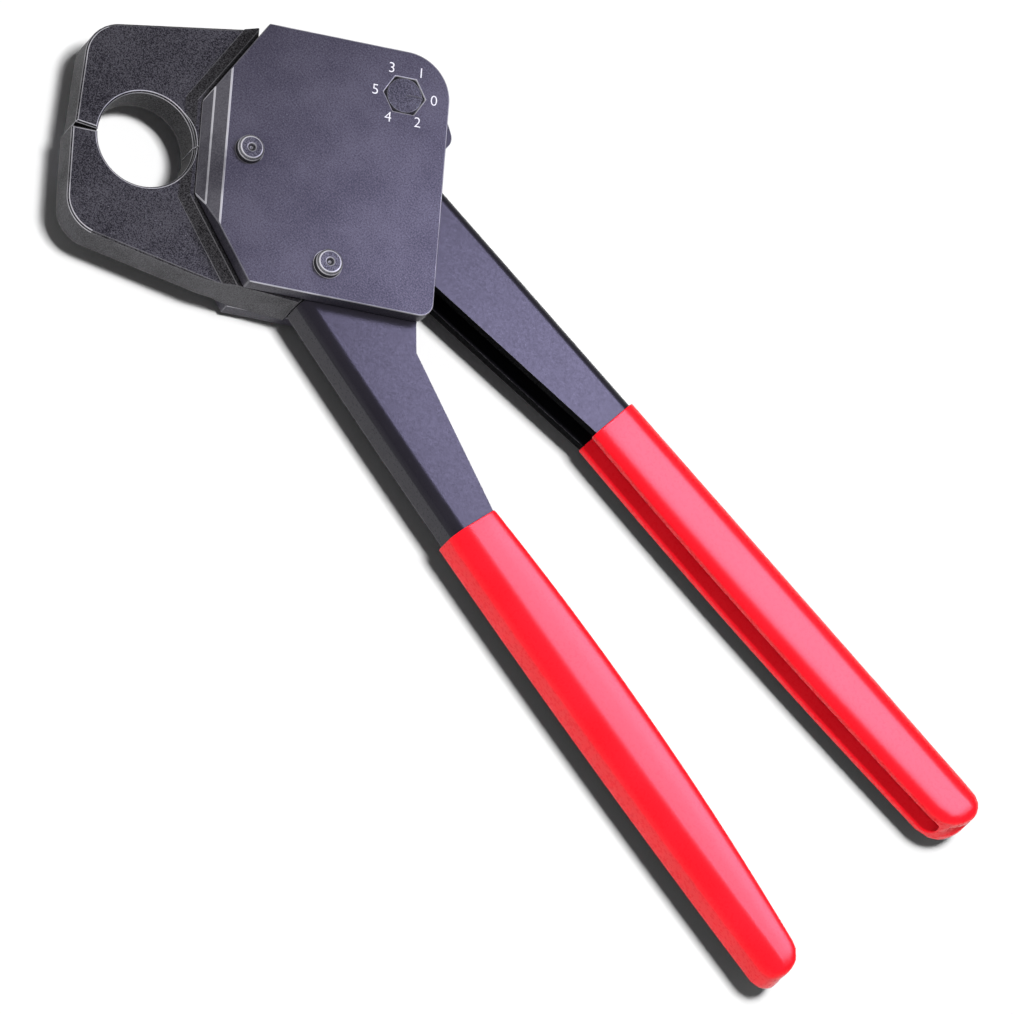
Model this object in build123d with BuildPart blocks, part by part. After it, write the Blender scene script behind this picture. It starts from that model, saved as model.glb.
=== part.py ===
"""Hand crimp tool for one-inch pipe rings.

Two jaws close round a bore. The lower jaw, two side plates and the lower handle are one fixed frame.
The upper jaw turns on the jaw pivot, and its tail carries rollers that run in curved cam slots
of the upper handle, which turns on the shank of an eccentric adjuster.

Head sketches use the split axis: x runs from the bore to the jaw pivot, y points to the upper jaw.
Handle sketches use u along the outer face of the channel's web, and v inwards, to the other handle.
"""
import os
from math import asin, atan, atan2, cos, degrees, hypot, radians, sin, sqrt, tan

from build123d import *

# Bore and split
HEAD_TURN = 45.0
BORE_DIA = 30.0
SPLIT_AT_BORE = 0.4
SPLIT_AT_MOUTH = 1.4

# Layers across the tool, from the middle outwards
PLATE_GAP = 16.0
PLATE_THICK = 5.5
SIDE_PLAY = 0.3
SHEET_THICK = 3.2
NOSE_THICK = 12.0

# Pivots, on the split axis
JAW_PIVOT_X = 30.2
ANCHOR_X = 57.5
ANCHOR_Y = -31.5
ADJUSTER_X = 77.2
ADJUSTER_Y = 27.6

# Pins and fits
PIN_DIA = 8.4
PIN_PROUD = 2.6
PIN_CHAMFER = 0.8
DIMPLE_DIA = 2.6
DIMPLE_DEPTH = 0.9
DIMPLE_TAPER = 45.0
RUN_FIT = 0.05
SEAT_FIT = 0.02
BUSH_WALL = 1.5

# Adjuster
HEX_FLATS = 11.2
HEX_FACE_DIA = 10.8
HEX_CHAMFER_ANGLE = 40.0
ECCENTRIC = 0.6
SHANK_DIA = 9.8
JOURNAL_DIA = 8.4
INDEX_WIDTH = 0.7
INDEX_DEPTH = 0.35
RING_WIRE = 1.4

# Jaws
UPPER_MOUTH_X = -22.2
LOWER_MOUTH_X = -23.2
UPPER_CORNER = (-20.35, 34.0)
LOWER_CORNER = (-22.7, -31.4)
UPPER_BACK = (32.0, 42.5)
UPPER_BACK_FOOT_X = 31.0
LOWER_BELLY = (22.4, -40.9)
JAW_CORNER_R = 12.0
PLATE_LEDGE = 1.2
LEDGE_RUN = 3.4
JAW_CHAMFER = 0.6
CHEEK_R = 10.8
TONGUE_R = 11.0
JAW_CLEAR = 0.5
LOWER_TAIL_R = 9.7
LOWER_SADDLE = (36.0, -8.0)
LOWER_REAR = (60.0, -24.0)

# Drive
JAW_OPEN = 42.0
JAW_PER_HANDLE = 0.6
DRIVE_INSIDE_PITCH = 1.5
DRIVE_BELOW_CENTRES = 3.0
ROLLER_DIA = 8.0
ROLLER_PLAY = 0.12
DRIVE_PIN_DIA = 5.4
TAIL_END_R = 7.5
PRONG_WALL = 4.6
CAM_STEPS = 8
CAM_RUNOUT = 1.12
CAM_NUDGE = 0.001

# Plates
PLATE_TOP_Y = 42.0
PLATE_REAR_X = 91.5
PLATE_SHOULDER_X = 33.5
TOE_X = 15.9
TOE_HALF = 15.0
BEVEL_FACE_RUN = 7.0
BEVEL_TOE_RUN = 2.7
BEVEL_FACE_DROP = 2.2
PLATE_TOP_R = 14.0
PLATE_BOTTOM_R = 4.5

# Handles
FIXED_ROOT = (51.6, -43.2)
FIXED_ANGLE = -49.0
FIXED_GRIP_START = 83.5
FIXED_GRIP_LENGTH = 164.0
FIXED_CURL = 3.2
FIXED_BOW = 2.35
FIXED_LIP = (14.0, 17.4, 14.2)
MOVING_ROOT = (95.35, 1.62)
MOVING_ANGLE = -41.4
MOVING_GRIP_START = 83.5
MOVING_GRIP_LENGTH = 161.0
MOVING_LIP = (16.0, 16.7, 14.5)
FIXED_TAPER = (31.0, 22.8)
FIXED_NECK = (24.0, 27.9)
FIXED_REAR = (20.3, 31.3)
FIXED_CREST_V = 22.0
MOVING_TAPER = (20.5, 23.95)
MOVING_NECK = (-2.0, 26.95)
MOVING_CREST = (60.0, 6.0)
MOVING_HEEL = (-9.0, 5.0)
BEND_R = 4.0
CHANNEL_BLANK = 40.0
RELIEF = 5.0
WEB_LEAD = 5.0
EAR_R = 11.0
HUB_R = 13.0
HUB_TUBE_DIA = 19.0
LUG_CENTRE = (90.5, 19.2)
LUG_R = 4.3

# Grips
COAT = 1.2
GRIP_FIT = 0.05
GRIP_END_R = 6.4
GRIP_TIP = 4.0
SLOT_STOP = 7.0
STEEL_END_R = 5.2
# a trimming face passes this far outside the web, so that the two never run along each other
TRIM_PASS = 0.05

# Derived layers and centres
plate_inner = PLATE_GAP / 2
plate_outer = plate_inner + PLATE_THICK
body_half = plate_inner - SIDE_PLAY
cheek_inner = body_half - SHEET_THICK
tongue_half = cheek_inner - SIDE_PLAY
nose_half = NOSE_THICK / 2
ring_z = -(plate_inner + PLATE_THICK / 2)
bore_r = BORE_DIA / 2
jaw_pivot = (JAW_PIVOT_X, 0.0)
anchor = (ANCHOR_X, ANCHOR_Y)
adjuster = (ADJUSTER_X, ADJUSTER_Y)
handle_pivot = (ADJUSTER_X + ECCENTRIC, ADJUSTER_Y)
centres = hypot(handle_pivot[0] - jaw_pivot[0], handle_pivot[1] - jaw_pivot[1])
centres_angle = degrees(atan2(handle_pivot[1] - jaw_pivot[1], handle_pivot[0] - jaw_pivot[0]))
handle_open = JAW_OPEN / JAW_PER_HANDLE
drive_r = centres / (1 + JAW_PER_HANDLE) - DRIVE_INSIDE_PITCH
far = 4 * PLATE_REAR_X

head = Plane((0, 0, 0), x_dir=(cos(radians(HEAD_TURN)), sin(radians(HEAD_TURN)), 0), z_dir=(0, 0, 1))


def turned(point, centre, angle):
    """The point, turned about the centre by the angle in degrees."""
    dx, dy = point[0] - centre[0], point[1] - centre[1]
    c, s = cos(radians(angle)), sin(radians(angle))
    return (centre[0] + c * dx - s * dy, centre[1] + s * dx + c * dy)


def drive_point(jaw_turn):
    """Centre of the drive pin with the upper jaw opened by jaw_turn degrees."""
    angle = radians(centres_angle - DRIVE_BELOW_CENTRES - jaw_turn)
    return (jaw_pivot[0] + drive_r * cos(angle), jaw_pivot[1] + drive_r * sin(angle))


def cam_point(share):
    """Drive pin centre in the closed handle's frame, at a share of the handle's travel."""
    return turned(drive_point(share * JAW_OPEN), handle_pivot, -share * handle_open)


def cam_side(share, offset):
    """Point beside the cam path at a share of the travel, offset to its left."""
    near, beyond = cam_point(share - CAM_NUDGE), cam_point(share + CAM_NUDGE)
    run = hypot(beyond[0] - near[0], beyond[1] - near[1])
    x, y = cam_point(share)
    return (x - offset * (beyond[1] - near[1]) / run, y + offset * (beyond[0] - near[0]) / run)


def cam_band(half):
    """Face of a band along the cam path, round at the closed end and run out past the open end."""
    shares = [CAM_RUNOUT * step / CAM_STEPS for step in range(CAM_STEPS + 1)]
    left = [cam_side(share, half) for share in shares]
    right = [cam_side(share, -half) for share in shares]
    start = cam_point(0)
    round_end = turned(left[0], start, 90)
    with BuildLine() as rim:
        Spline(*left)
        Line(left[-1], right[-1])
        Spline(*right)
        ThreePointArc(left[0], round_end, right[0])
    make_face(rim.edges())


def handle_plane(root, angle, up):
    """Middle plane of a handle, with u along the web's outer face and v to the inner side."""
    direction = radians(HEAD_TURN + angle)
    origin = head.from_local_coords((root[0], root[1], 0))
    return Plane(origin, x_dir=(cos(direction), sin(direction), 0), z_dir=(0, 0, up))


def seen_from(plane, point):
    """A head-sketch point in another plane's own coordinates."""
    local = plane.to_local_coords(head.from_local_coords((point[0], point[1], 0)))
    return (local.X, local.Y)


def seen_from_head(plane, point):
    """A point of another plane's sketch in head-sketch coordinates."""
    local = head.to_local_coords(plane.from_local_coords((point[0], point[1], 0)))
    return (local.X, local.Y)


def pair(plane, inner, outer):
    """Planes at the near side of the two mirrored layers between inner and outer."""
    return (plane.offset(inner), plane.offset(-outer))


def bowed(first, middle, last):
    """Centre, radius and bulging side of the arc through three points of a handle's side view."""
    arc = ThreePointArc(first, middle, last)
    side = 1 if middle[1] > (first[1] + last[1]) / 2 else -1
    return (arc.arc_center.X, arc.arc_center.Y, arc.radius, side)


def height(arc, u, grow=0):
    """Height v of an arc, or of a straight web without one, at u, or of its parallel further out by grow."""
    if arc is None:
        return -grow
    centre_u, centre_v, radius, side = arc
    return centre_v + side * sqrt((radius + grow) ** 2 - (u - centre_u) ** 2)


def section_plane(plane, arc, u):
    """Plane across a handle's web at u, with y to the inner side, facing the grip's end."""
    v = height(arc, u)
    origin = plane.from_local_coords((u, v, 0))
    run, rise = (1, 0) if arc is None else (arc[1] - v, u - arc[0])
    ahead = plane.from_local_coords((u + run, v + rise, 0))
    return Plane(origin, x_dir=-plane.z_dir, z_dir=ahead - origin)


def along(plane, arc, start, end, mode=Mode.ADD):
    """Carry the pending section along the web from start to end."""
    if arc is None:
        extrude(amount=end - start, mode=mode)
        return
    centre = plane.from_local_coords((arc[0], arc[1], 0))
    turn = asin((end - arc[0]) / arc[2]) - asin((start - arc[0]) / arc[2])
    revolve(axis=Axis(centre, plane.z_dir), revolution_arc=degrees(turn), mode=mode)


def channel_section(fit=0):
    """Section of the bent channel, tall enough for the highest part of its flanges, grown by a fit."""
    with Locations((0, CHANNEL_BLANK / 2 - fit)):
        Rectangle(2 * (body_half + fit), CHANNEL_BLANK)
    fillet(vertices().group_by(Axis.Y)[0], BEND_R + fit)
    with Locations((0, CHANNEL_BLANK / 2 + SHEET_THICK + fit)):
        Rectangle(2 * (cheek_inner - fit), CHANNEL_BLANK, mode=Mode.SUBTRACT)


def side_face(web, lip, start, end, grow, corner):
    """Side view of a handle between web and lip, grown by grow, with rounded corners at its end."""
    stations = (start, (start + end) / 2, end)
    low = [(u, height(web, u, grow + TRIM_PASS)) for u in stations]
    high = [(u, height(lip, u, grow)) for u in stations]
    with BuildLine() as rim:
        if web is None:
            Line(low[0], low[-1])
        else:
            ThreePointArc(*low)
        Line(low[-1], high[-1])
        ThreePointArc(*high)
        Line(high[0], low[0])
    make_face(rim.edges())
    fillet(vertices().group_by(Axis.X)[-1], corner)


def dipped_coat(plane, web, lip, start, steel_end):
    """Vinyl coat over the end of a channel, inside and out, open along the inner side."""
    lead = start - GRIP_TIP
    tip = steel_end + GRIP_TIP
    with BuildPart() as steel:
        with BuildSketch(section_plane(plane, web, lead)):
            channel_section(GRIP_FIT)
        along(plane, web, lead, tip + GRIP_TIP)
        with BuildSketch(plane):
            side_face(web, lip, lead, steel_end + GRIP_FIT, GRIP_FIT, STEEL_END_R)
        extrude(amount=far, both=True, mode=Mode.INTERSECT)
    with BuildPart() as coat:
        with BuildSketch(section_plane(plane, web, lead)):
            with Locations((0, CHANNEL_BLANK / 2 - COAT)):
                Rectangle(2 * coat_half, CHANNEL_BLANK)
            fillet(vertices().group_by(Axis.Y)[0], BEND_R + COAT)
        along(plane, web, lead, tip + GRIP_TIP)
        with BuildSketch(plane):
            side_face(web, lip, start, tip, COAT, GRIP_END_R)
        extrude(amount=far, both=True, mode=Mode.INTERSECT)
        with BuildSketch(section_plane(plane, web, lead)):
            with Locations((0, CHANNEL_BLANK / 2 + SHEET_THICK + COAT)):
                Rectangle(2 * (cheek_inner - COAT), CHANNEL_BLANK)
        along(plane, web, lead, tip - SLOT_STOP, Mode.SUBTRACT)
        add(steel.part, mode=Mode.SUBTRACT)
    return coat


def in_front_of_cheeks(edge):
    """Whether the edge lies on the nose side of the cheeks round the jaw pivot."""
    return head.to_local_coords(edge.center()).X < jaw_pivot[0] - CHEEK_R


def save(builder, name):
    """Label the finished piece and write its file."""
    builder.part.label = name
    export_step(builder.part, f"parts/{name}.step")


fixed = handle_plane(FIXED_ROOT, FIXED_ANGLE, 1)
moving = handle_plane(MOVING_ROOT, MOVING_ANGLE, -1)
drive_rest = drive_point(0)
drive_wide = drive_point(JAW_OPEN)
fork_reach = hypot(drive_wide[0] - handle_pivot[0], drive_wide[1] - handle_pivot[1])
fixed_end = FIXED_GRIP_START + FIXED_GRIP_LENGTH - GRIP_TIP
moving_end = MOVING_GRIP_START + MOVING_GRIP_LENGTH - GRIP_TIP
fixed_web = bowed((0, 0), (fixed_end / 2, FIXED_CURL / 2 - FIXED_BOW), (fixed_end, FIXED_CURL))
# the moving handle's web is straight, so it has no arc
moving_web = None
fixed_lip = bowed(*zip((FIXED_GRIP_START, (FIXED_GRIP_START + fixed_end) / 2, fixed_end), FIXED_LIP))
moving_lip = bowed(*zip((MOVING_GRIP_START, (MOVING_GRIP_START + moving_end) / 2, moving_end), MOVING_LIP))
coat_half = body_half + COAT
bush_r = PIN_DIA / 2 + RUN_FIT + BUSH_WALL
handle_bush_r = SHANK_DIA / 2 + RUN_FIT + BUSH_WALL
slot_width = ROLLER_DIA + 2 * ROLLER_PLAY
cheek_layers = pair(head, cheek_inner, body_half)
relief_layers = pair(head, tongue_half, body_half)
relief_depth = body_half - tongue_half
os.makedirs("parts", exist_ok=True)

# Side plates' outline, and the sloped ledge round it where the jaws rise to their full thickness
plate_outline = [
    (TOE_X, -TOE_HALF),
    (PLATE_SHOULDER_X, -PLATE_TOP_Y),
    (PLATE_REAR_X, -PLATE_TOP_Y),
    (PLATE_REAR_X, PLATE_TOP_Y),
    (PLATE_SHOULDER_X, PLATE_TOP_Y),
    (TOE_X, TOE_HALF),
]
ledge_rise = body_half - nose_half
with BuildPart() as ledge:
    with BuildSketch(head):
        Polygon(*plate_outline, align=None)
        offset(amount=PLATE_LEDGE + LEDGE_RUN, kind=Kind.INTERSECTION)
    extrude(amount=nose_half, both=True)
    extrude(faces().sort_by(Axis.Z)[-1], amount=ledge_rise, taper=degrees(atan(LEDGE_RUN / ledge_rise)))
    extrude(faces().sort_by(Axis.Z)[0], amount=ledge_rise, taper=degrees(atan(LEDGE_RUN / ledge_rise)))

# Upper jaw: chamfered nose, full-width shoulder, and a tongue with the driven tail
upper_outline = [
    (UPPER_MOUTH_X, SPLIT_AT_MOUTH),
    UPPER_CORNER,
    UPPER_BACK,
    (UPPER_BACK_FOOT_X, SPLIT_AT_BORE),
    (JAW_CHAMFER - bore_r, SPLIT_AT_BORE),
]
with BuildPart() as upper_jaw:
    with BuildSketch(head):
        Polygon(*upper_outline, align=None)
        fillet(vertices().sort_by_distance(UPPER_CORNER)[0], JAW_CORNER_R)
        Circle(bore_r, mode=Mode.SUBTRACT)
    extrude(amount=nose_half, both=True)
    rims = edges().group_by(Axis.Z)[0] + edges().group_by(Axis.Z)[-1]
    chamfer(rims.filter_by(in_front_of_cheeks), JAW_CHAMFER)
    with BuildPart() as upper_shoulder:
        with BuildSketch(head):
            Polygon(*upper_outline, align=None)
            Circle(bore_r + JAW_CHAMFER, mode=Mode.SUBTRACT)
        extrude(amount=body_half, both=True)
        add(ledge.part, mode=Mode.INTERSECT)
    add(upper_shoulder.part)
    with BuildSketch(head):
        with Locations(jaw_pivot):
            Circle(TONGUE_R)
        with Locations(drive_rest):
            Circle(TAIL_END_R)
        make_hull()
    extrude(amount=tongue_half, both=True)
    with BuildSketch(*relief_layers):
        with Locations(jaw_pivot):
            Circle(CHEEK_R + JAW_CLEAR)
    extrude(amount=relief_depth, mode=Mode.SUBTRACT)
    with BuildSketch(head):
        with Locations(jaw_pivot):
            Circle(bush_r + SEAT_FIT)
        with Locations(drive_rest):
            Circle(DRIVE_PIN_DIA / 2 + SEAT_FIT)
    extrude(amount=body_half, both=True, mode=Mode.SUBTRACT)
save(upper_jaw, "upper_jaw")

# Lower jaw: forked at the jaw pivot, narrowed to a tail where the handle's cheeks straddle it
lower_outline = [
    (LOWER_MOUTH_X, 0),
    LOWER_CORNER,
    LOWER_BELLY,
    FIXED_ROOT,
    LOWER_REAR,
    LOWER_SADDLE,
    (LOWER_SADDLE[0], 0),
]
anchor_seen = seen_from(fixed, anchor)
with BuildPart() as lower_jaw:
    with BuildSketch(head):
        Polygon(*lower_outline, align=None)
        fillet(vertices().sort_by_distance(LOWER_CORNER)[0], JAW_CORNER_R)
        Circle(bore_r, mode=Mode.SUBTRACT)
    extrude(amount=nose_half, both=True)
    rims = edges().group_by(Axis.Z)[0] + edges().group_by(Axis.Z)[-1]
    chamfer(rims.filter_by(in_front_of_cheeks), JAW_CHAMFER)
    with BuildPart() as lower_shoulder:
        with BuildSketch(head):
            Polygon(*lower_outline, align=None)
            Circle(bore_r + JAW_CHAMFER, mode=Mode.SUBTRACT)
        extrude(amount=body_half, both=True)
        add(ledge.part, mode=Mode.INTERSECT)
    add(lower_shoulder.part)
    with BuildSketch(head):
        with Locations(jaw_pivot):
            Circle(CHEEK_R)
        with Locations(anchor):
            Circle(LOWER_TAIL_R)
    extrude(amount=body_half, both=True)
    with BuildSketch(*pair(fixed, tongue_half, body_half)):
        with Locations(anchor_seen):
            Circle(EAR_R + JAW_CLEAR)
        with Locations((-SIDE_PLAY - far / 2, RELIEF - JAW_CLEAR - far / 2)):
            Rectangle(far, far, mode=Mode.SUBTRACT)
        with Locations((far / 2 - SIDE_PLAY, 0)):
            Rectangle(far, far)
    extrude(amount=relief_depth, mode=Mode.SUBTRACT)
    with BuildSketch(fixed):
        with Locations((far / 2 - SIDE_PLAY, SHEET_THICK + SIDE_PLAY - far / 2)):
            Rectangle(far, far)
    extrude(amount=body_half, both=True, mode=Mode.SUBTRACT)
    with BuildSketch(head):
        with Locations(jaw_pivot):
            Circle(TONGUE_R + JAW_CLEAR)
        with Locations(drive_wide):
            Circle(TAIL_END_R + JAW_CLEAR)
        make_hull()
    extrude(amount=cheek_inner, both=True, mode=Mode.SUBTRACT)
    with BuildSketch(head):
        with Locations(jaw_pivot, anchor):
            Circle(PIN_DIA / 2 + SEAT_FIT)
    extrude(amount=body_half, both=True, mode=Mode.SUBTRACT)
save(lower_jaw, "lower_jaw")

# Side plates: toe bevelled in two facets, hex seat in front and round journal seat behind
toe_side = Plane(head.origin, x_dir=head.x_dir, z_dir=-head.y_dir)
toe_cut = [
    (TOE_X, plate_inner),
    (TOE_X + BEVEL_TOE_RUN, plate_outer - BEVEL_FACE_DROP),
    (TOE_X + BEVEL_FACE_RUN, plate_outer),
    (TOE_X + BEVEL_FACE_RUN, plate_outer + PLATE_THICK),
    (0, plate_outer + PLATE_THICK),
    (0, plate_inner),
]
hex_r = HEX_FLATS / 2 / cos(radians(30))
with BuildPart() as front_plate:
    with BuildSketch(head.offset(plate_inner)):
        Polygon(*plate_outline, align=None)
        fillet(vertices().sort_by_distance((PLATE_REAR_X, PLATE_TOP_Y))[0], PLATE_TOP_R)
        fillet(vertices().sort_by_distance((PLATE_REAR_X, -PLATE_TOP_Y))[0], PLATE_BOTTOM_R)
        with Locations(jaw_pivot, anchor):
            Circle(PIN_DIA / 2 + SEAT_FIT, mode=Mode.SUBTRACT)
        with Locations(adjuster):
            RegularPolygon(HEX_FLATS / 2 + RUN_FIT, 6, major_radius=False, mode=Mode.SUBTRACT)
    extrude(amount=PLATE_THICK)
    with BuildSketch(toe_side):
        Polygon(*toe_cut, align=None)
    extrude(amount=far, both=True, mode=Mode.SUBTRACT)
save(front_plate, "front_plate")

with BuildPart() as back_plate:
    with BuildSketch(head.offset(-plate_outer)):
        Polygon(*plate_outline, align=None)
        fillet(vertices().sort_by_distance((PLATE_REAR_X, PLATE_TOP_Y))[0], PLATE_TOP_R)
        fillet(vertices().sort_by_distance((PLATE_REAR_X, -PLATE_TOP_Y))[0], PLATE_BOTTOM_R)
        with Locations(jaw_pivot, anchor):
            Circle(PIN_DIA / 2 + SEAT_FIT, mode=Mode.SUBTRACT)
        with Locations(adjuster):
            Circle(JOURNAL_DIA / 2 + RUN_FIT, mode=Mode.SUBTRACT)
    extrude(amount=PLATE_THICK)
    with BuildSketch(toe_side):
        Polygon(*[(x, -z) for x, z in toe_cut], align=None)
    extrude(amount=far, both=True, mode=Mode.SUBTRACT)
save(back_plate, "back_plate")

# Straight pins with chamfered, dimpled ends
pin_half = plate_outer + PIN_PROUD
with BuildPart() as jaw_pivot_pin:
    with BuildSketch(head):
        with Locations(jaw_pivot):
            Circle(PIN_DIA / 2)
    extrude(amount=pin_half, both=True)
    chamfer(edges().group_by(Axis.Z)[0] + edges().group_by(Axis.Z)[-1], PIN_CHAMFER)
    with BuildSketch(head.offset(pin_half), head.offset(-pin_half)):
        with Locations(jaw_pivot):
            Circle(DIMPLE_DIA / 2)
    extrude(amount=DIMPLE_DEPTH, both=True, taper=DIMPLE_TAPER, mode=Mode.SUBTRACT)
save(jaw_pivot_pin, "jaw_pivot_pin")

with BuildPart() as anchor_pin:
    with BuildSketch(head):
        with Locations(anchor):
            Circle(PIN_DIA / 2)
    extrude(amount=pin_half, both=True)
    chamfer(edges().group_by(Axis.Z)[0] + edges().group_by(Axis.Z)[-1], PIN_CHAMFER)
    with BuildSketch(head.offset(pin_half), head.offset(-pin_half)):
        with Locations(anchor):
            Circle(DIMPLE_DIA / 2)
    extrude(amount=DIMPLE_DEPTH, both=True, taper=DIMPLE_TAPER, mode=Mode.SUBTRACT)
save(anchor_pin, "anchor_pin")

with BuildPart() as jaw_bush:
    with BuildSketch(head):
        with Locations(jaw_pivot):
            Circle(bush_r)
            Circle(PIN_DIA / 2 + RUN_FIT, mode=Mode.SUBTRACT)
    extrude(amount=tongue_half, both=True)
save(jaw_bush, "jaw_bush")

# Drive pin across the upper jaw's tail, with a roller on each end
with BuildPart() as drive_pin:
    with BuildSketch(head):
        with Locations(drive_rest):
            Circle(DRIVE_PIN_DIA / 2)
    extrude(amount=body_half, both=True)
    chamfer(edges().group_by(Axis.Z)[0] + edges().group_by(Axis.Z)[-1], PIN_CHAMFER / 2)
save(drive_pin, "drive_pin")

with BuildPart() as drive_rollers:
    with BuildSketch(*cheek_layers):
        with Locations(drive_rest):
            Circle(ROLLER_DIA / 2)
            Circle(DRIVE_PIN_DIA / 2 + RUN_FIT, mode=Mode.SUBTRACT)
    extrude(amount=SHEET_THICK)
save(drive_rollers, "drive_rollers")

# Adjuster: hex head, eccentric shank in the handle's bush, journal with a friction ring
adjuster_centre = head.from_local_coords((adjuster[0], adjuster[1], 0))
adjuster_side = Plane(adjuster_centre, x_dir=head.x_dir, z_dir=-head.y_dir)
hex_corner_drop = (2 * hex_r - HEX_FACE_DIA) / 2 * tan(radians(HEX_CHAMFER_ANGLE))
hex_corner_cut = [
    (HEX_FACE_DIA / 2, plate_outer),
    (HEX_FACE_DIA / 2 + PLATE_THICK, plate_outer),
    (HEX_FACE_DIA / 2 + PLATE_THICK, plate_outer - hex_corner_drop),
    (hex_r, plate_outer - hex_corner_drop),
]
with BuildPart() as adjuster_pin:
    with BuildSketch(head.offset(plate_inner)):
        with Locations(adjuster):
            RegularPolygon(HEX_FLATS / 2, 6, major_radius=False)
    extrude(amount=PLATE_THICK)
    with BuildSketch(adjuster_side):
        Polygon(*hex_corner_cut, align=None)
    revolve(axis=Axis(adjuster_side.origin, (0, 0, 1)), mode=Mode.SUBTRACT)
    with BuildSketch(head.offset(plate_inner)):
        with Locations(handle_pivot):
            Circle(SHANK_DIA / 2)
    extrude(amount=-PLATE_GAP)
    with BuildSketch(head.offset(-plate_inner)):
        with Locations(adjuster):
            Circle(JOURNAL_DIA / 2)
    extrude(amount=-PLATE_THICK)
    with BuildSketch(head.offset(ring_z - RING_WIRE / 2 - RUN_FIT)):
        with Locations(adjuster):
            Circle(JOURNAL_DIA / 2 + RUN_FIT)
            Circle(JOURNAL_DIA / 2 - RING_WIRE - SEAT_FIT, mode=Mode.SUBTRACT)
    extrude(amount=RING_WIRE + 2 * RUN_FIT, mode=Mode.SUBTRACT)
    with BuildSketch(head.offset(plate_outer)):
        with Locations((adjuster[0] + hex_r / 2 + INDEX_WIDTH, adjuster[1])):
            Rectangle(hex_r, INDEX_WIDTH)
    extrude(amount=-INDEX_DEPTH, mode=Mode.SUBTRACT)
save(adjuster_pin, "adjuster_pin")

ring_centre = head.from_local_coords((adjuster[0], adjuster[1], ring_z))
ring_plane = Plane(ring_centre, x_dir=head.x_dir, z_dir=-head.y_dir)
with BuildPart() as adjuster_ring:
    with BuildSketch(ring_plane):
        with Locations((JOURNAL_DIA / 2 - RING_WIRE / 2, 0)):
            Circle(RING_WIRE / 2)
    revolve(axis=Axis(ring_plane.origin, (0, 0, 1)))
save(adjuster_ring, "adjuster_ring")

# Moving handle: two cheeks with cam slots, joined by the channel's web
with BuildSketch() as cam_slot:
    cam_band(slot_width / 2)
with BuildSketch() as lug_web:
    with Locations(handle_pivot):
        Circle(HUB_R)
    with Locations(LUG_CENTRE):
        Circle(LUG_R)
    make_hull()
with BuildSketch() as drive_web:
    with Locations(handle_pivot):
        Circle(HUB_R)
    with Locations(drive_rest):
        Circle(slot_width / 2 + PRONG_WALL)
    make_hull()
with BuildSketch() as fork:
    cam_band(slot_width / 2 + PRONG_WALL)
    with Locations(handle_pivot):
        Circle(fork_reach, mode=Mode.INTERSECT)
moving_head = [
    seen_from_head(moving, (-WEB_LEAD, MOVING_HEEL[1])),
    seen_from_head(moving, MOVING_HEEL),
    LUG_CENTRE,
    handle_pivot,
    drive_rest,
    MOVING_CREST,
    seen_from_head(moving, MOVING_NECK),
    seen_from_head(moving, MOVING_TAPER),
    seen_from_head(moving, (MOVING_TAPER[0], MOVING_HEEL[1])),
]
moving_neck = [
    (-WEB_LEAD, -RELIEF),
    (MOVING_GRIP_START, -RELIEF),
    (MOVING_GRIP_START, MOVING_LIP[0]),
    MOVING_TAPER,
    MOVING_NECK,
    (-WEB_LEAD, MOVING_HEEL[1]),
]
with BuildPart() as moving_handle:
    with BuildSketch(section_plane(moving, moving_web, -2 * WEB_LEAD)):
        channel_section()
    along(moving, moving_web, -2 * WEB_LEAD, moving_end + WEB_LEAD)
    with BuildSketch(moving):
        side_face(moving_web, moving_lip, MOVING_GRIP_START, moving_end, 0, STEEL_END_R)
        Polygon(*moving_neck, align=None)
    extrude(amount=far, both=True, mode=Mode.INTERSECT)
    with BuildSketch(*cheek_layers):
        Polygon(*moving_head, align=None)
        add(lug_web.sketch)
        add(drive_web.sketch)
        add(fork.sketch)
        add(cam_slot.sketch, mode=Mode.SUBTRACT)
        with Locations(handle_pivot):
            Circle(handle_bush_r + SEAT_FIT, mode=Mode.SUBTRACT)
    extrude(amount=SHEET_THICK)
save(moving_handle, "moving_handle")

with BuildPart() as handle_hub:
    with BuildSketch(head):
        with Locations(handle_pivot):
            Circle(HUB_TUBE_DIA / 2)
            Circle(handle_bush_r + SEAT_FIT, mode=Mode.SUBTRACT)
    extrude(amount=cheek_inner - SEAT_FIT, both=True)
save(handle_hub, "handle_hub")

with BuildPart() as handle_bush:
    with BuildSketch(head):
        with Locations(handle_pivot):
            Circle(handle_bush_r)
            Circle(SHANK_DIA / 2 + RUN_FIT, mode=Mode.SUBTRACT)
    extrude(amount=body_half, both=True)
save(handle_bush, "handle_bush")

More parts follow.
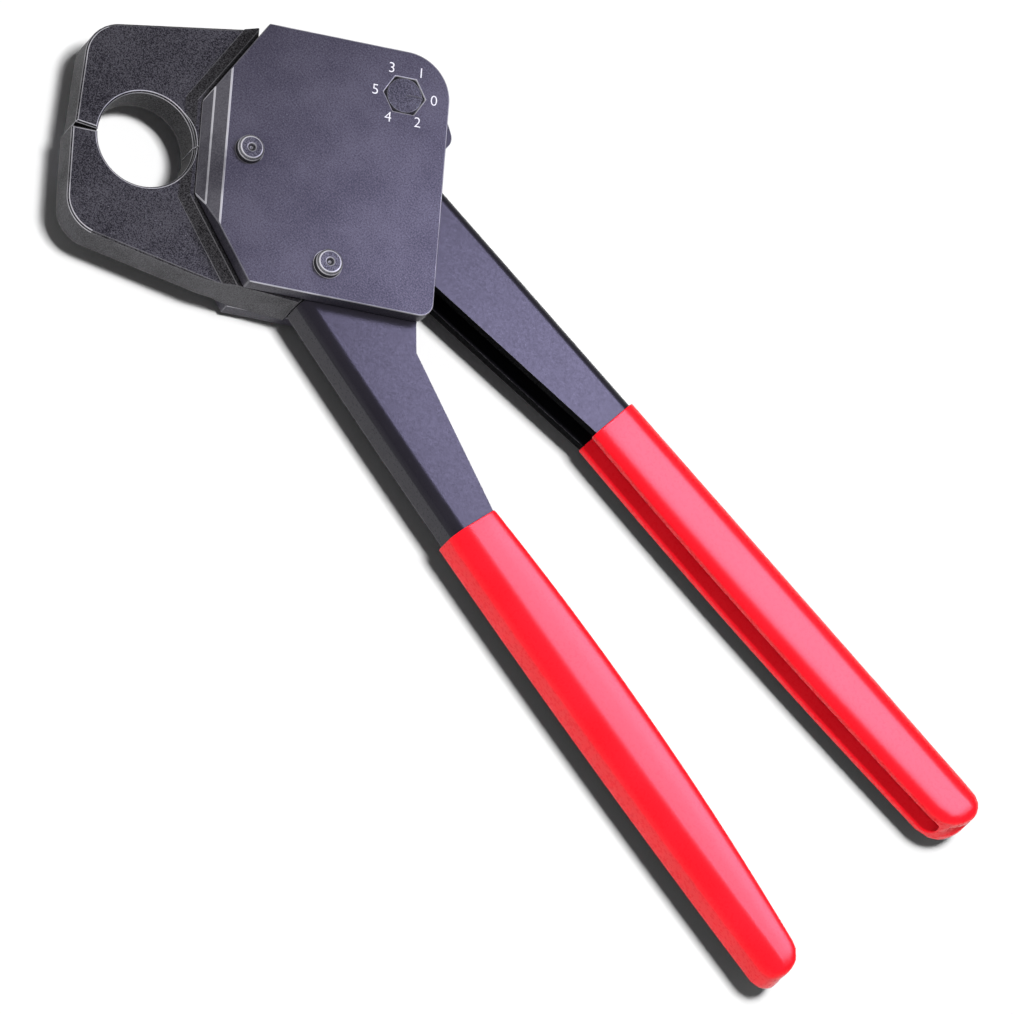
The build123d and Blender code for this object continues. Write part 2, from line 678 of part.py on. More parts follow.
# Fixed handle: ears on the anchor pin, then the same channel
fixed_neck = [
    (0, -RELIEF),
    (FIXED_GRIP_START, -RELIEF),
    (FIXED_GRIP_START, FIXED_LIP[0]),
    FIXED_TAPER,
    FIXED_NECK,
    FIXED_REAR,
    (0, FIXED_CREST_V),
]
with BuildPart() as fixed_handle:
    with BuildSketch(section_plane(fixed, fixed_web, -WEB_LEAD)):
        channel_section()
    along(fixed, fixed_web, -WEB_LEAD, fixed_end + WEB_LEAD)
    with BuildSketch(fixed):
        side_face(fixed_web, fixed_lip, FIXED_GRIP_START, fixed_end, 0, STEEL_END_R)
        Polygon(*fixed_neck, align=None)
    extrude(amount=far, both=True, mode=Mode.INTERSECT)
    with BuildSketch(*pair(fixed, cheek_inner, body_half)):
        with Locations(anchor_seen):
            Circle(EAR_R)
        with Locations((-far / 2, RELIEF - far / 2)):
            Rectangle(far, far, mode=Mode.SUBTRACT)
    extrude(amount=SHEET_THICK)
    with BuildSketch(fixed):
        with Locations(anchor_seen):
            Circle(PIN_DIA / 2 + SEAT_FIT)
    extrude(amount=body_half, both=True, mode=Mode.SUBTRACT)
save(fixed_handle, "fixed_handle")

# Grips: dipped vinyl that coats each channel inside and out
save(dipped_coat(fixed, fixed_web, fixed_lip, FIXED_GRIP_START, fixed_end), "fixed_grip")
save(dipped_coat(moving, moving_web, moving_lip, MOVING_GRIP_START, moving_end), "moving_grip")
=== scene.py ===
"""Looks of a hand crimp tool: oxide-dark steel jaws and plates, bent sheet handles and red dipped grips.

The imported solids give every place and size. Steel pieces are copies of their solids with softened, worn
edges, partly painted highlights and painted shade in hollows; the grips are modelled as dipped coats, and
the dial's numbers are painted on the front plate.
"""
import logging
import math
from abc import ABC, abstractmethod
from dataclasses import dataclass
from enum import Enum

import bmesh
import bpy
from mathutils import Matrix, Vector


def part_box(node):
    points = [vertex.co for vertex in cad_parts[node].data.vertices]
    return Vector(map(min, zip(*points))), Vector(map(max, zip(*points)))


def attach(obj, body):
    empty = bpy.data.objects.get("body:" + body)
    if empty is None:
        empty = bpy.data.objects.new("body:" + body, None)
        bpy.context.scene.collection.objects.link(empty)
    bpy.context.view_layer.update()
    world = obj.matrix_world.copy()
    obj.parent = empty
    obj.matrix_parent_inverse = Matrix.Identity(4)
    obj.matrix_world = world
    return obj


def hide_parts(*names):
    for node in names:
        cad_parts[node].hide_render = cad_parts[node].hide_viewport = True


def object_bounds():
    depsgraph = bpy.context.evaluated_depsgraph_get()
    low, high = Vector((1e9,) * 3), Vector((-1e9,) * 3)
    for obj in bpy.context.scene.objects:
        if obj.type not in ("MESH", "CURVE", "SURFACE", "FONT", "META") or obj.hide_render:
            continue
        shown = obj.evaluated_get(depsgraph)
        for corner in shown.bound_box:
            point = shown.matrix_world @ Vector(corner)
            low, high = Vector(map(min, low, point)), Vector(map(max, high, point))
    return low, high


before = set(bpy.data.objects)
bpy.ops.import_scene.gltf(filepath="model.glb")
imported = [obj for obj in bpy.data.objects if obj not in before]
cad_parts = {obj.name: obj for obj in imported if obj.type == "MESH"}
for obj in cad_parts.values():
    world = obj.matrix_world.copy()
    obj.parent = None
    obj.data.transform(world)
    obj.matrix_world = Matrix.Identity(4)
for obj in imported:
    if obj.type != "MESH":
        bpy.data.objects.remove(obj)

Pair = tuple[float, float]
Triple = tuple[float, float, float]
Colour = tuple[float, float, float, float]

LOG = logging.getLogger("crimp_tool")
MM = 0.001
CAD_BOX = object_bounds()
UP = Vector((0.0, 0.0, 1.0))
# The jaws part along a line at a slant to the part's axes, and the head's wear is placed by it.
HEAD_TURN = math.radians(45.0)
SPLIT_AXIS = Vector((math.cos(HEAD_TURN), math.sin(HEAD_TURN), 0.0))
UPPER_AXIS = Vector((-math.sin(HEAD_TURN), math.cos(HEAD_TURN), 0.0))
# The face attribute that says how far a face is rubbed, or lightened as painted sheen and highlights, up to
# 1, and its value on faces painted near-black as shade.
WEAR = "wear"
SHADE_BLACK_MARK = -1.0
# Where a colour mix has its factor and two colours, and its result, because their names are not unique.
MIX_IN = (0, 6, 7)
MIX_OUT = 2
# The cosine from which a face counts as looking some way.
FACING = 0.9
# How near counts as the same place on a straight coat: before its edges are rounded, and after.
FINE_MM = 1e-4
NEAR_MM = 1e-3


class Body(Enum):
    """Rigid bodies that the new pieces ride on."""

    FRAME = "frame"
    JAW = "jaw"
    HANDLE = "handle"
    ADJUSTER = "adjuster"


class InnerSide(Enum):
    """Which way a handle's open side looks along the part's Y axis."""

    UP = 1.0
    DOWN = -1.0


class Rounding(Enum):
    """What a rounding takes: the edges of a solid, or the corners of a flat outline."""

    EDGES = "EDGES"
    CORNERS = "VERTICES"


class Lamp(Enum):
    """What a softbox does: wash the colours evenly, or only show as a sheen in glossy skins."""

    WASH = "wash"
    SHEEN = "sheen"


class Flag(Enum):
    """How a lamp is flagged: kept off some objects, or let onto only those."""

    OFF = "EXCLUDE"
    ONLY = "INCLUDE"


def linear(hex_colour: str) -> Colour:
    """Turn an sRGB hex colour into a linear colour.

    Args:
        hex_colour: six hex digits after a hash sign.

    Returns:
        Linear red, green and blue, and an alpha of one.
    """
    parts = [int(hex_colour[i : i + 2], 16) / 255.0 for i in (1, 3, 5)]
    red, green, blue = (p / 12.92 if p <= 0.04045 else ((p + 0.055) / 1.055) ** 2.4 for p in parts)
    return (red, green, blue, 1.0)


def per_mm(size_mm: float) -> float:
    """Texture scale whose features are size_mm across, as Object coordinates are in metres."""
    return 1000.0 / size_mm


def add(
    tree: bpy.types.NodeTree, kind: str, out: str | int, inputs: dict | tuple = (), **settings: object
) -> bpy.types.NodeSocket:
    """Add a shader node with its settings, values and links.

    Args:
        tree: node tree that gets the node.
        kind: Blender's name of the node type, without its first part.
        out: name or index of the output that is wanted.
        inputs: values, or sockets to link from, by input name or index, or in the inputs' order.
        settings: properties set on the node.

    Returns:
        The wanted output socket.
    """
    node = tree.nodes.new(f"ShaderNode{kind}")
    for name, value in settings.items():
        setattr(node, name, value)
    given = inputs if isinstance(inputs, dict) else dict(enumerate(inputs))
    for key, value in given.items():
        if isinstance(value, bpy.types.NodeSocket):
            tree.links.new(value, node.inputs[key])
        else:
            node.inputs[key].default_value = value
    return node.outputs[out]


def blank_material(name: str) -> tuple[bpy.types.Material, bpy.types.NodeTree, bpy.types.Node]:
    """Make a material with only a principled shader.

    Args:
        name: the material's name.

    Returns:
        The material, its node tree and its shader.
    """
    material = bpy.data.materials.new(name)
    material.use_nodes = True
    tree = material.node_tree
    return material, tree, tree.nodes["Principled BSDF"]


@dataclass(frozen=True)
class OxideSteel:
    """Steel from a hot black-oxide bath: a dark blue-grey skin, mottled, speckled and rubbed along edges.

    The speckle is finer on the real tool, and is drawn about two pixels wide so that it shows. Hollows and
    corners get painted shade from ambient occlusion, and faces marked as shaded are painted near-black as
    shade, fully matt.
    """

    name: str
    face: str
    shade: str
    worn: str
    roughness: float
    speckle_mm: float
    contrast: float
    relief: float
    gloss: float = 0.10
    metallic: float = 0.10
    shade_black: str = "#0A0A0C"
    cloud_mm: float = 17.0
    cloud_share: float = 0.55
    noise_span: Pair = (0.34, 0.66)
    salt_span: Pair = (0.66, 0.78)
    salt_share: float = 0.35
    patch_span: Pair = (0.34, 0.56)
    patch_least: float = 0.45
    painted_shade_mm: float = 5.0
    painted_shade_span: Pair = (0.40, 1.00)
    painted_shade_most: float = 0.85
    painted_shade_rays: int = 8
    rough_span: Pair = (0.30, 0.70)
    rough_swing: float = 0.07
    grit_mm: float = 0.06

    def material(self) -> bpy.types.Material:
        """Make the finish as a node material.

        Returns:
            The material.
        """
        material, tree, shader = blank_material(self.name)
        face, shade = linear(self.face), linear(self.shade)
        worn, shade_black = linear(self.worn), linear(self.shade_black)
        place = add(tree, "TexCoord", "Object")
        cloud_in = {"Vector": place, "Scale": per_mm(self.cloud_mm), "Detail": 4.0, "Roughness": 0.6}
        cloud = add(tree, "TexNoise", "Fac", cloud_in)
        grain_in = {"Vector": place, "Scale": per_mm(self.speckle_mm), "Detail": 6.0, "Roughness": 0.72}
        grain = add(tree, "TexNoise", "Fac", grain_in)
        mottle = add(tree, "MapRange", "Result", (cloud, *self.noise_span, -0.5, 0.5))
        fleck = add(tree, "MapRange", "Result", (grain, *self.noise_span, -0.5, 0.5))
        flecks = add(tree, "Math", "Value", (fleck, self.contrast, 0.5), operation="MULTIPLY_ADD")
        tone_in = (mottle, self.cloud_share, flecks)
        tone = add(tree, "Math", "Value", tone_in, operation="MULTIPLY_ADD", use_clamp=True)
        skin = add(tree, "Mix", MIX_OUT, dict(zip(MIX_IN, (tone, shade, face))), data_type="RGBA")
        salt_in = (grain, *self.salt_span, 0.0, self.salt_share * self.contrast)
        salt = add(tree, "MapRange", "Result", salt_in)
        salted = add(tree, "Mix", MIX_OUT, dict(zip(MIX_IN, (salt, skin, worn))), data_type="RGBA")
        # Painted shade: ambient occlusion mixes the colour towards the dark shade in hollows, corners and
        # beside other parts.
        shelter_in = {"Distance": self.painted_shade_mm * MM}
        shelter = add(tree, "AmbientOcclusion", "AO", shelter_in, samples=self.painted_shade_rays)
        painted_shade = add(tree, "MapRange", "Result", (shelter, *self.painted_shade_span, self.painted_shade_most, 0.0))
        with_painted_shade = add(tree, "Mix", MIX_OUT, dict(zip(MIX_IN, (painted_shade, salted, shade))), data_type="RGBA")
        rubbed = add(tree, "Attribute", "Fac", attribute_name=WEAR)
        # Painted shade: faces with the shade mark take the near-black colour, and their roughness is raised
        # to full.
        shade_black_mask = add(tree, "MapRange", "Result", (rubbed, SHADE_BLACK_MARK, 0.0, 1.0, 0.0))
        dark = add(tree, "Mix", MIX_OUT, dict(zip(MIX_IN, (shade_black_mask, with_painted_shade, shade_black))), data_type="RGBA")
        patchy = add(tree, "MapRange", "Result", (cloud, *self.patch_span, self.patch_least, 1.0))
        wear = add(tree, "Math", "Value", (rubbed, patchy), operation="MULTIPLY")
        bright = add(tree, "Mix", MIX_OUT, dict(zip(MIX_IN, (wear, dark, worn))), data_type="RGBA")
        tree.links.new(bright, shader.inputs["Base Color"])
        dull, shiny = self.roughness + self.rough_swing, self.roughness - self.rough_swing
        rough = add(tree, "MapRange", "Result", (grain, *self.rough_span, dull, shiny))
        matt = add(tree, "Math", "Value", (rough, shade_black_mask), operation="MAXIMUM")
        tree.links.new(matt, shader.inputs["Roughness"])
        grit_in = {"Height": grain, "Strength": self.relief, "Distance": self.grit_mm * MM}
        tree.links.new(add(tree, "Bump", "Normal", grit_in), shader.inputs["Normal"])
        shader.inputs["Metallic"].default_value = self.metallic
        shader.inputs["Specular IOR Level"].default_value = self.gloss
        return material


@dataclass(frozen=True)
class DippedVinyl:
    """Plastisol dip: a wet-looking saturated red skin with a slow sag and a faint orange peel."""

    name: str
    face: str
    deep: str
    sag_mm: float = 16.0
    sag_span: Pair = (0.35, 0.65)
    sag_rise_mm: float = 0.5
    sag_relief: float = 0.02
    peel_mm: float = 1.1
    peel_span: Pair = (0.3, 0.7)
    peel_rise_mm: float = 0.05
    peel_relief: float = 0.01
    roughness: Pair = (0.26, 0.30)
    ior: float = 1.53
    gloss: float = 0.10

    def material(self) -> bpy.types.Material:
        """Make the finish as a node material.

        Returns:
            The material.
        """
        material, tree, shader = blank_material(self.name)
        place = add(tree, "TexCoord", "Object")
        sag_in = {"Vector": place, "Scale": per_mm(self.sag_mm), "Detail": 2.0}
        sag = add(tree, "TexNoise", "Fac", sag_in)
        peel_in = {"Vector": place, "Scale": per_mm(self.peel_mm), "Detail": 2.0}
        peel = add(tree, "TexNoise", "Fac", peel_in)
        thick = add(tree, "MapRange", "Result", (sag, *self.sag_span, 0.0, 1.0))
        dip_in = dict(zip(MIX_IN, (thick, linear(self.deep), linear(self.face))))
        dip = add(tree, "Mix", MIX_OUT, dip_in, data_type="RGBA")
        tree.links.new(dip, shader.inputs["Base Color"])
        rough = add(tree, "MapRange", "Result", (peel, *self.peel_span, *self.roughness))
        tree.links.new(rough, shader.inputs["Roughness"])
        slow_in = {"Height": sag, "Strength": self.sag_relief, "Distance": self.sag_rise_mm * MM}
        slow = add(tree, "Bump", "Normal", slow_in)
        fine_in = {"Height": peel, "Strength": self.peel_relief, "Distance": self.peel_rise_mm * MM}
        fine = add(tree, "Bump", "Normal", fine_in | {"Normal": slow})
        tree.links.new(fine, shader.inputs["Normal"])
        shader.inputs["IOR"].default_value = self.ior
        shader.inputs["Specular IOR Level"].default_value = self.gloss
        return material


@dataclass(frozen=True)
class PlainFinish:
    """Small hidden pieces and paint: one colour broken by a fine speckle."""

    name: str
    face: str
    shade: str
    metallic: float
    roughness: float
    speck_mm: float
    speck_span: Pair = (0.3, 0.7)

    def material(self) -> bpy.types.Material:
        """Make the finish as a node material.

        Returns:
            The material.
        """
        material, tree, shader = blank_material(self.name)
        place = add(tree, "TexCoord", "Object")
        speck_in = {"Vector": place, "Scale": per_mm(self.speck_mm), "Detail": 3.0}
        speck = add(tree, "TexNoise", "Fac", speck_in)
        light = add(tree, "MapRange", "Result", (speck, *self.speck_span, 0.0, 1.0))
        skin_in = dict(zip(MIX_IN, (light, linear(self.shade), linear(self.face))))
        skin = add(tree, "Mix", MIX_OUT, skin_in, data_type="RGBA")
        tree.links.new(skin, shader.inputs["Base Color"])
        shader.inputs["Metallic"].default_value = self.metallic
        shader.inputs["Roughness"].default_value = self.roughness
        return material


# Rolled plate, blackened: an even dark grey with a fine sparkle and a soft sheen.
PLATE_STEEL = OxideSteel(
    name="black_oxide_plate",
    face="#45434B",
    shade="#28262F",
    worn="#C6C5CB",
    roughness=0.38,
    speckle_mm=0.5,
    contrast=1.6,
    relief=0.25,
)
# Forged steel, blackened over its scale: coarse and dull, with painted shade that makes its hollows almost
# black.
JAW_STEEL = OxideSteel(
    name="black_oxide_forging",
    face="#434245",
    shade="#141315",
    worn="#C2C1C7",
    roughness=0.50,
    speckle_mm=0.42,
    contrast=3.2,
    relief=0.6,
    gloss=0.06,
    painted_shade_mm=8.0,
)
# Cold-rolled sheet, blackened after bending: smooth, nearly free of speckle, with a long clear sheen.
SHEET_STEEL = OxideSteel(
    name="black_oxide_sheet",
    face="#28262D",
    shade="#222027",
    worn="#B4B3BA",
    roughness=0.30,
    speckle_mm=0.8,
    contrast=0.4,
    relief=0.05,
)
# Turned pins, blackened: a grainy end face with a rim that is rubbed bright.
PIN_STEEL = OxideSteel(
    name="black_oxide_pin",
    face="#55545B",
    shade="#232228",
    worn="#DCDBE0",
    roughness=0.40,
    speckle_mm=0.4,
    contrast=2.2,
    relief=0.45,
)
# Milled hex, blackened: grainy as the pins are, and painted darker as shade, because it sits sheltered in
# the plate.
SEAT_STEEL = OxideSteel(
    name="black_oxide_adjuster",
    face="#47464D",
    shade="#1D1C21",
    worn="#DCDBE0",
    roughness=0.42,
    speckle_mm=0.35,
    contrast=2.4,
    relief=0.45,
)
# Dipped plastisol: a full red with pale, soft-edged highlights.
RED_VINYL = DippedVinyl(name="red_dipped_vinyl", face="#F91A28", deep="#F41724")
# Sintered bronze: warm, slightly open-grained metal.
BRONZE = PlainFinish("sintered_bronze", "#B58A4A", "#946E38", metallic=0.9, roughness=0.45, speck_mm=0.4)
# Moulded nitrile: plain dull black.
NITRILE = PlainFinish("nitrile_rubber", "#1B1B1C", "#121213", metallic=0.0, roughness=0.6, speck_mm=0.5)
# Filled paint: chalky pale numbers.
DIAL_PAINT = PlainFinish(
    "pale_dial_paint", "#E4E3E6", "#CFCED2", metallic=0.0, roughness=0.55, speck_mm=0.3
)


def dress(thing: bpy.types.Object, material: bpy.types.Material) -> None:
    """Give an object one material."""
    thing.data.materials.clear()
    thing.data.materials.append(material)


def even_normals(thing: bpy.types.Object) -> None:
    """Keep flat faces flat beside their rounded edges.

    Args:
        thing: the piece that is shaded.
    """
    thing.data.polygons.foreach_set("use_smooth", [True] * len(thing.data.polygons))
    modifier = thing.modifiers.new("even_normals", "WEIGHTED_NORMAL")
    modifier.keep_sharp = True


def finished(work: bmesh.types.BMesh, name: str, body: Body) -> bpy.types.Object:
    """Turn a bmesh into an object that rides on a body.

    Args:
        work: the finished bmesh, which is freed.
        name: the piece's name.
        body: the body that carries it.

    Returns:
        The new object.
    """
    mesh = bpy.data.meshes.new(name)
    work.to_mesh(mesh)
    work.free()
    thing = bpy.data.objects.new(name, mesh)
    bpy.context.collection.objects.link(thing)
    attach(thing, body.value)
    return thing


def rounded(
    work: bmesh.types.BMesh, geom: list, radius: float, steps: int, takes: Rounding = Rounding.EDGES
) -> list[bmesh.types.BMFace]:
    """Round edges or corners.

    Args:
        work: the mesh.
        geom: the edges or vertices.
        radius: the rounding's size, in the mesh's own units.
        steps: how many faces it gets.
        takes: whether edges or corners are given.

    Returns:
        The new faces.
    """
    return bmesh.ops.bevel(
        work,
        geom=geom,
        offset=radius,
        offset_type="OFFSET",
        affect=takes.value,
        segments=steps,
        profile=0.5,
        material=-1,
        clamp_overlap=True,
    )["faces"]


def sliced(work: bmesh.types.BMesh, faces: list, point: Triple, normal: Triple, snap: float) -> list:
    """Cut faces by a plane.

    Args:
        work: the mesh.
        faces: the faces to cut.
        point: a point of the plane.
        normal: the plane's direction.
        snap: how near to the plane a vertex counts as in it.

    Returns:
        The vertices and edges in the cut.
    """
    verts = dict.fromkeys(v for f in faces for v in f.verts)
    edges = dict.fromkeys(e for f in faces for e in f.edges)
    geom = [*verts, *edges, *faces]
    cut = bmesh.ops.bisect_plane(work, geom=geom, plane_co=point, plane_no=normal, dist=snap)
    return cut["geom_cut"]


def through(span: Pair, heights: Triple, place: float) -> float:
    """Height of the smooth curve through three heights at the start, middle and end of a span.

    Args:
        span: where the curve starts and ends.
        heights: its heights at the start, middle and end.
        place: where it is read.

    Returns:
        The height there.
    """
    share = (place - span[0]) / (span[1] - span[0])
    first, middle, last = heights
    slope = 4.0 * middle - 3.0 * first - last
    bow = 2.0 * (first + last - 2.0 * middle)
    return first + share * slope + share * share * bow


class Rub(ABC):
    """How far a piece's softened edges are rubbed through to bright steel, on the jaws and plates partly as
    painted highlights.
    """

    @abstractmethod
    def at(self, ahead: float, up: float) -> float:
        """Return the wear at a place along the jaws' split and across it, in millimetres."""


@dataclass(frozen=True)
class EvenRub(Rub):
    """Edges that are rubbed alike all round."""

    level: float

    def at(self, ahead: float, up: float) -> float:
        """Return the one level, wherever the edge is."""
        return self.level


@dataclass(frozen=True)
class JawWearAndHighlight(Rub):
    """A jaw's edges: mouth and bore shine, the lower jaw's edge beside the plate less, as wear and a
    painted highlight; the rest hardly.
    """

    bright: float = 0.75
    worn: float = 0.55
    faint: float = 0.12
    mouth_mm: float = -14.0
    bore_rim_mm: float = 17.5
    shoulder_mm: float = 23.0
    lower_mm: Pair = (-17.0, -1.0)

    def at(self, ahead: float, up: float) -> float:
        """Return the wear at a place.

        Args:
            ahead: the place along the split.
            up: the place across it.

        Returns:
            The wear, from 0 to 1.
        """
        if ahead < self.mouth_mm or math.hypot(ahead, up) < self.bore_rim_mm:
            return self.bright
        low, high = self.lower_mm
        # The lower jaw's edge beside the plate is painted bright partly as wear and partly as a painted
        # highlight on that edge.
        return self.worn if ahead < self.shoulder_mm and low < up < high else self.faint


@dataclass(frozen=True)
class PlateWearAndHighlight(Rub):
    """A plate's edges: the bevelled toe shines most, as wear and painted highlights on its creases; the
    slanted sides beside the jaws hardly.
    """

    bright: float = 0.75
    worn: float = 0.55
    faint: float = 0.15
    toe_mm: float = 25.5
    toe_half_mm: float = 21.0
    side_end_mm: float = 34.0

    def at(self, ahead: float, up: float) -> float:
        """Return the wear at a place.

        Args:
            ahead: the place along the split.
            up: the place across it.

        Returns:
            The wear, from 0 to 1.
        """
        # The toe's crease lines are painted bright partly as wear and partly as painted highlights.
        if ahead < self.toe_mm and abs(up) < self.toe_half_mm:
            return self.bright
        return self.faint if ahead < self.side_end_mm else self.worn


@dataclass
class SteelPiece:
    """A steel piece: a copy of its solid with its edges softened and rubbed, partly as painted highlights.
    """

    node: str
    body: Body
    finish: bpy.types.Material
    edge_mm: float
    slot: str
    rub: Rub
    # Tilted faces are lightened by this much: a painted sheen, and on chamfers partly wear.
    slope_wear_and_sheen: float = 0.0
    slope_span: Pair = (0.55, 0.99)
    calm_mm: float = 0.0
    calm_wear: float = 0.3
    sharp_deg: float = 28.0
    crease_deg: float = 5.0
    line_mm: float = 12.0
    line_rise: float = 0.1
    room_mm: float = 0.0
    weld_mm: float = 0.002
    flat_deg: float = 0.5
    edge_steps: int = 2

    def softens(self, edge: bmesh.types.BMEdge) -> bool:
        """Tell whether an edge is rubbed: a sharp one, or a long level one between two flats.

        Args:
            edge: an edge of the copied solid.

        Returns:
            Whether it is rubbed.
        """
        turn = math.degrees(edge.calc_face_angle(0.0))
        span = edge.verts[1].co - edge.verts[0].co
        long_level = span.length > self.line_mm * MM and abs(span.z) < self.line_rise * span.length
        return turn > self.sharp_deg or (turn > self.crease_deg and long_level)

    def roomy(self, edges: set[bmesh.types.BMEdge]) -> list[bmesh.types.BMEdge]:
        """Leave out the edges beside others that are too short for the rubbing.

        Args:
            edges: the edges that could be rubbed.

        Returns:
            Those with room.
        """
        room = self.room_mm * MM
        tight = edges
        while tight:
            tight = {
                edge
                for edge in edges
                for vert in edge.verts
                for beside in vert.link_edges
                if beside not in edges and beside.calc_length() < room
            }
            edges = edges - tight
        return list(edges)

    def shape(self, work: bmesh.types.BMesh) -> None:
        """Shape the softened copy further, where a piece needs it."""

    def build(self) -> bpy.types.Object:
        """Model the piece in place of its solid.

        Returns:
            The softened piece.
        """
        work = bmesh.new()
        work.from_mesh(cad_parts[self.node].data)
        bmesh.ops.remove_doubles(work, verts=work.verts, dist=self.weld_mm * MM)
        flat = math.radians(self.flat_deg)
        bmesh.ops.dissolve_limit(work, angle_limit=flat, verts=work.verts, edges=work.edges)
        wear = work.faces.layers.float.new(WEAR)
        low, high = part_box(self.node)
        centre = (Vector(low) + Vector(high)) / 2.0

        def rubs(face: bmesh.types.BMFace) -> bool:
            """Whether a face lies outside the middle that nothing touches."""
            return (face.calc_center_median() - centre).xy.length > self.calm_mm * MM

        # Tilted faces away from the middle get the painted sheen level.
        steep, level = self.slope_span
        for face in work.faces:
            slopes = steep < abs(face.normal.z) < level
            face[wear] = self.slope_wear_and_sheen if slopes and rubs(face) else 0.0
        sharp = {e for e in work.edges if e.is_manifold and self.softens(e)}
        for face in rounded(work, self.roomy(sharp), self.edge_mm * MM, self.edge_steps):
            spot = face.calc_center_median() / MM
            bright = self.rub.at(spot.dot(SPLIT_AXIS), spot.dot(UPPER_AXIS))
            face[wear] = bright if rubs(face) else self.calm_wear
        self.shape(work)
        piece = finished(work, f"{self.node}_steel", self.body)
        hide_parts(self.node)
        dress(piece, self.finish)
        even_normals(piece)
        return piece


@dataclass
class Channel(SteelPiece):
    """A bent channel. Its faces on the open side are painted near-black as shade."""

    inner: InnerSide = InnerSide.UP

    def shape(self, work: bmesh.types.BMesh) -> None:
        """Mark the faces to the open side to be painted near-black as shade.

        Args:
            work: the softened channel.
        """
        wear = work.faces.layers.float[WEAR]
        for face in work.faces:
            # These faces get the mark for the near-black painted shade.
            if face.normal.y * self.inner.value > FACING:
                face[wear] = SHADE_BLACK_MARK


@dataclass
class Jaw(SteelPiece):
    """A forged jaw, whose split face rises to its middle by the forging's draft."""

    clear_mm: float = 0.08
    bore_mm: float = 15.0
    near_mm: float = 2.0
    split_facing: float = 0.97
    split_mm2: float = 20.0
    snap_mm: float = 1e-4
    side_tilt: float = 0.3
    side_wear: float = 0.07

    def shape(self, work: bmesh.types.BMesh) -> None:
        """Rub the outer sides a little, and raise the middle of the split face almost to the split.

        Args:
            work: the softened jaw.
        """
        wear = work.faces.layers.float[WEAR]
        split = []
        for face in work.faces:
            spot = face.calc_center_median() / MM
            beside = spot.dot(SPLIT_AXIS) < -self.bore_mm and abs(spot.dot(UPPER_AXIS)) < self.near_mm
            across = abs(face.normal.dot(UPPER_AXIS)) > self.split_facing
            if beside and across and face.calc_area() > self.split_mm2 * MM * MM:
                split.append(face)
            elif abs(face.normal.z) < self.side_tilt and spot.xy.length > self.bore_mm + self.near_mm:
                face[wear] = max(face[wear], self.side_wear)
        for vert in sliced(work, split, (0.0, 0.0, 0.0), (0.0, 0.0, 1.0), self.snap_mm * MM):
            if isinstance(vert, bmesh.types.BMVert):
                height = vert.co.dot(UPPER_AXIS)
                vert.co += UPPER_AXIS * (math.copysign(self.clear_mm * MM, height) - height)


@dataclass(frozen=True)
class RoundEdge:
    """A coat's rounded edge: its radius, and how many faces it gets."""

    mm: float
    steps: int


